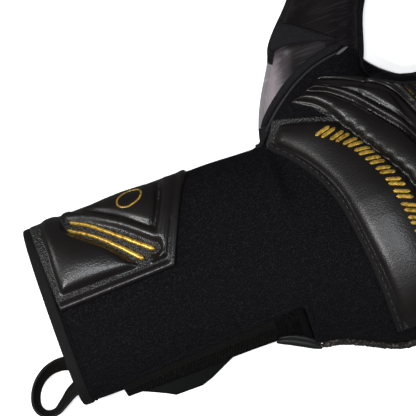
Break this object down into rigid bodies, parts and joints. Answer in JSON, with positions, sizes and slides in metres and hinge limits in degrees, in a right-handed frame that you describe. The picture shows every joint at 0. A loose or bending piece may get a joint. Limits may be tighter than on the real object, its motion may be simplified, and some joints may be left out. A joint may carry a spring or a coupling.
{
  "type": "goalkeeper glove",
  "caption": "Right-hand goalkeeper glove: latex palm, neoprene back with embossed guard pads, bending fingers and thumb, wrist strap and pull loop.",
  "frame": {"origin": "on the flat underside of the palm's heel, on the cuff's centre line", "axes": "+X to the fingertips, +Y to the thumb's side, +Z out of the back of the hand"},
  "size_m": [0.3228, 0.1911, 0.0472],
  "materials": {
    "latex": "matt cellular latex foam",
    "wrapped_latex": "glossy film over latex, streaked",
    "neoprene": "matt jersey-faced neoprene",
    "embossed_leather": "satin grained synthetic leather with gold line work",
    "mesh_cloth": "knitted spacer mesh",
    "binding": "stitched edge binding",
    "hook_and_loop": "hook and loop pile",
    "ribbon": "woven ribbon",
    "foam": "cut foam edge",
    "tab_rubber": "matt moulded tab"
  },
  "bodies": {
    "hand": {"palm_latex": "latex", "palm_backing": "foam", "back_panel": "neoprene", "back_lining": "mesh_cloth", "cuff_under_panel": "neoprene", "slit_gusset": "mesh_cloth", "slit_end_patch": "hook_and_loop", "slit_end_bar": "binding", "cuff_hem": "binding", "crescent_pad": "embossed_leather", "crescent_welt": "binding", "knuckle_pad": "embossed_leather", "cuff_pad": "embossed_leather", "latex_edge_strip": "foam", "thumb_mound_latex": "latex", "thumb_wrap_latex": "wrapped_latex", "thumb_mound_back": "neoprene", "thumb_welt": "binding", "loop_patch": "hook_and_loop", "strap_anchor": "binding", "pull_loop_root": "ribbon"},
    "thumb_base": {"thumb_base_latex": "latex", "thumb_base_back": "wrapped_latex"},
    "thumb_tip": {"thumb_tip_latex": "latex", "thumb_tip_back": "wrapped_latex", "thumb_tip_pad": "embossed_leather"},
    "index_base": {"index_base_latex": "latex", "index_base_back": "neoprene", "index_base_pad": "embossed_leather"},
    "index_tip": {"index_tip_latex": "latex", "index_tip_back": "neoprene", "index_tip_pad": "embossed_leather"},
    "middle_base": {"middle_base_latex": "latex", "middle_base_back": "neoprene", "middle_base_pad": "embossed_leather"},
    "middle_tip": {"middle_tip_latex": "latex", "middle_tip_back": "neoprene", "middle_tip_pad": "embossed_leather"},
    "ring_base": {"ring_base_latex": "latex", "ring_base_back": "neoprene", "ring_base_pad": "embossed_leather"},
    "ring_tip": {"ring_tip_latex": "latex", "ring_tip_back": "neoprene", "ring_tip_pad": "embossed_leather"},
    "little_base": {"little_base_latex": "latex", "little_base_back": "neoprene", "little_base_pad": "embossed_leather"},
    "little_tip": {"little_tip_latex": "latex", "little_tip_back": "neoprene", "little_tip_pad": "embossed_leather"},
    "strap": {"strap_band": "mesh_cloth"},
    "strap_tab": {"strap_tab": "tab_rubber", "hook_patch": "hook_and_loop"},
    "pull_loop": {"pull_loop": "ribbon"}
  },
  "joints": [
    {"name": "thumb_base_bend", "type": "hinge", "parent": "hand", "child": "thumb_base", "pos_m": [0.038, 0.067, 0.007], "axis": [-0.8572, 0.515, 0], "range_deg": [0, 60]},
    {"name": "thumb_tip_bend", "type": "hinge", "parent": "thumb_base", "child": "thumb_tip", "pos_m": [0.05191, 0.09014, 0.007], "axis": [-0.8572, 0.515, 0], "range_deg": [0, 60]},
    {"name": "index_knuckle", "type": "hinge", "parent": "hand", "child": "index_base", "pos_m": [0.112, 0.031, 0.007], "axis": [0, 1, 0], "range_deg": [0, 75]},
    {"name": "index_middle_joint", "type": "hinge", "parent": "index_base", "child": "index_tip", "pos_m": [0.141, 0.03274, 0.007], "axis": [0, 1, 0], "range_deg": [0, 75]},
    {"name": "middle_knuckle", "type": "hinge", "parent": "hand", "child": "middle_base", "pos_m": [0.112, 0.0028, 0.007], "axis": [0, 1, 0], "range_deg": [0, 75]},
    {"name": "middle_middle_joint", "type": "hinge", "parent": "middle_base", "child": "middle_tip", "pos_m": [0.144, 0.0028, 0.007], "axis": [0, 1, 0], "range_deg": [0, 75]},
    {"name": "ring_knuckle", "type": "hinge", "parent": "hand", "child": "ring_base", "pos_m": [0.112, -0.0255, 0.007], "axis": [0, 1, 0], "range_deg": [0, 75]},
    {"name": "ring_middle_joint", "type": "hinge", "parent": "ring_base", "child": "ring_tip", "pos_m": [0.142, -0.027, 0.007], "axis": [0, 1, 0], "range_deg": [0, 75]},
    {"name": "little_knuckle", "type": "hinge", "parent": "hand", "child": "little_base", "pos_m": [0.112, -0.0535, 0.007], "axis": [0, 1, 0], "range_deg": [0, 75]},
    {"name": "little_middle_joint", "type": "hinge", "parent": "little_base", "child": "little_tip", "pos_m": [0.135, -0.05649, 0.007], "axis": [0, 1, 0], "range_deg": [0, 75]},
    {"name": "strap_peel", "type": "hinge", "parent": "hand", "child": "strap", "pos_m": [-0.061, 0.034, 0.0003], "axis": [1, 0, 0], "range_deg": [0, 110]},
    {"name": "tab_peel", "type": "hinge", "parent": "strap", "child": "strap_tab", "pos_m": [-0.061, -0.005, 0.0003], "axis": [1, 0, 0], "range_deg": [0, 75]},
    {"name": "pull_loop_swing", "type": "hinge", "parent": "hand", "child": "pull_loop", "pos_m": [-0.11335, -0.0225, 0.0052], "axis": [0, 1, 0], "range_deg": [-60, 60]}
  ]
}
